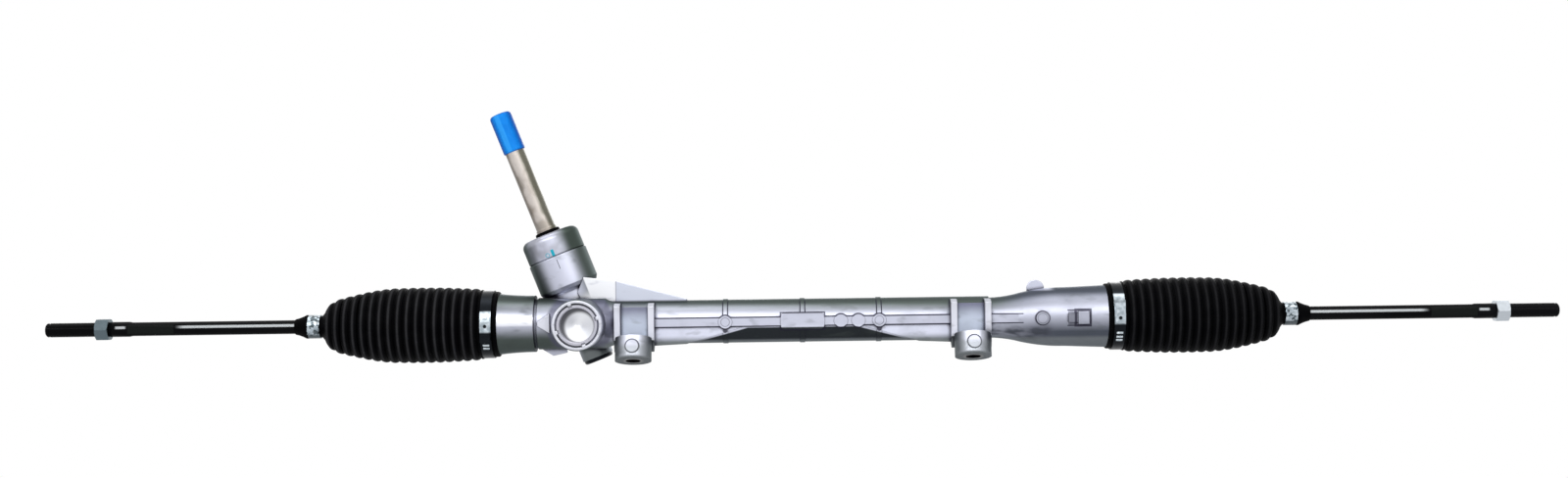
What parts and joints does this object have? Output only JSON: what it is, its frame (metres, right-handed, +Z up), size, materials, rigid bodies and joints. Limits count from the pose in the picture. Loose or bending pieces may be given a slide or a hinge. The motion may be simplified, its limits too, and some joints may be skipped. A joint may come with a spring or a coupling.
{
  "type": "steering rack",
  "caption": "Rack-and-pinion steering gear with a cast housing, leaning input shaft, boots and threaded tie rods.",
  "frame": {"origin": "midway between the two mounting holes, on the underside of their bosses", "axes": "+X along the rack to the right, +Z up the mounting bolts, +Y away from the adjuster plug"},
  "size_m": [1.264, 0.0849, 0.2164],
  "materials": {
    "cast_aluminium": "die cast, satin",
    "turned_aluminium": "turned",
    "black_rubber": "matt",
    "ground_steel": "ground",
    "oiled_steel": "oiled",
    "blue_vinyl": "soft gloss",
    "zinc_steel": "zinc plated",
    "black_steel": "gloss black",
    "plug_aluminium": "turned",
    "seat_plastic": "matt"
  },
  "bodies": {
    "housing": {"rack_housing": "cast_aluminium", "pinion_housing_cover": "turned_aluminium", "pinion_oil_seal": "black_rubber", "upper_bearing_outer_ring": "ground_steel", "bearing_lock_ring": "ground_steel", "lower_needle_bearing": "ground_steel", "pinion_lower_cap": "zinc_steel", "rack_guide_yoke": "plug_aluminium", "yoke_liner": "seat_plastic", "yoke_o_ring": "black_rubber", "yoke_spring": "ground_steel", "yoke_adjuster_plug": "plug_aluminium", "rack_bush": "ground_steel", "mount_sleeves": "zinc_steel", "left_boot": "black_rubber", "right_boot": "black_rubber", "left_large_clamp": "zinc_steel", "right_large_clamp": "zinc_steel"},
    "rack": {"rack_bar": "ground_steel", "left_ball_socket": "black_steel", "right_ball_socket": "black_steel", "left_lock_washer": "zinc_steel", "right_lock_washer": "zinc_steel"},
    "pinion": {"pinion_shaft": "oiled_steel", "upper_bearing_inner_ring": "ground_steel"},
    "bearing_balls": {"upper_bearing_balls": "ground_steel"},
    "cap": {"shaft_cap": "blue_vinyl"},
    "left_seat": {"left_ball_seat": "seat_plastic"},
    "left_rod": {"left_tie_rod": "black_steel", "left_small_clamp": "zinc_steel"},
    "left_nut": {"left_jam_nut": "zinc_steel"},
    "right_seat": {"right_ball_seat": "seat_plastic"},
    "right_rod": {"right_tie_rod": "black_steel", "right_small_clamp": "zinc_steel"},
    "right_nut": {"right_jam_nut": "zinc_steel"}
  },
  "joints": [
    {"name": "rack_slide", "type": "slide", "parent": "housing", "child": "rack", "axis": [1, 0, 0], "range_m": [-0.068, 0.068], "deforming": ["left_boot", "right_boot"]},
    {"name": "pinion_turn", "type": "hinge", "parent": "housing", "child": "pinion", "pos_m": [-0.184, 0.04253, 0.04337], "axis": [-0.3649, -0.2566, 0.895], "range_deg": [-557, 557]},
    {"name": "bearing_balls_orbit", "type": "hinge", "parent": "housing", "child": "bearing_balls", "pos_m": [-0.184, 0.04253, 0.04337], "axis": [-0.3649, -0.2566, 0.895], "range_deg": [-223, 223]},
    {"name": "cap_pull", "type": "slide", "parent": "pinion", "child": "cap", "axis": [-0.3649, -0.2566, 0.895], "range_m": [0, 0.045]},
    {"name": "left_toe_swing", "type": "hinge", "parent": "rack", "child": "left_seat", "pos_m": [-0.3165, 0.028, 0.0392], "axis": [0, 0, 1], "range_deg": [-12, 12]},
    {"name": "left_bounce_swing", "type": "hinge", "parent": "left_seat", "child": "left_rod", "pos_m": [-0.3165, 0.028, 0.0392], "axis": [0, 1, 0], "range_deg": [-12, 12]},
    {"name": "left_nut_run", "type": "slide", "parent": "left_rod", "child": "left_nut", "axis": [-1, 0, 0], "range_m": [0, 0.04]},
    {"name": "right_toe_swing", "type": "hinge", "parent": "rack", "child": "right_seat", "pos_m": [0.3165, 0.028, 0.0392], "axis": [0, 0, 1], "range_deg": [-12, 12]},
    {"name": "right_bounce_swing", "type": "hinge", "parent": "right_seat", "child": "right_rod", "pos_m": [0.3165, 0.028, 0.0392], "axis": [0, 1, 0], "range_deg": [-12, 12]},
    {"name": "right_nut_run", "type": "slide", "parent": "right_rod", "child": "right_nut", "axis": [1, 0, 0], "range_m": [0, 0.04]}
  ],
  "couplings": [
    {"joint": "pinion_turn", "follows": "rack_slide", "rad_per_m": 142.86},
    {"joint": "bearing_balls_orbit", "follows": "rack_slide", "rad_per_m": 57.143}
  ]
}
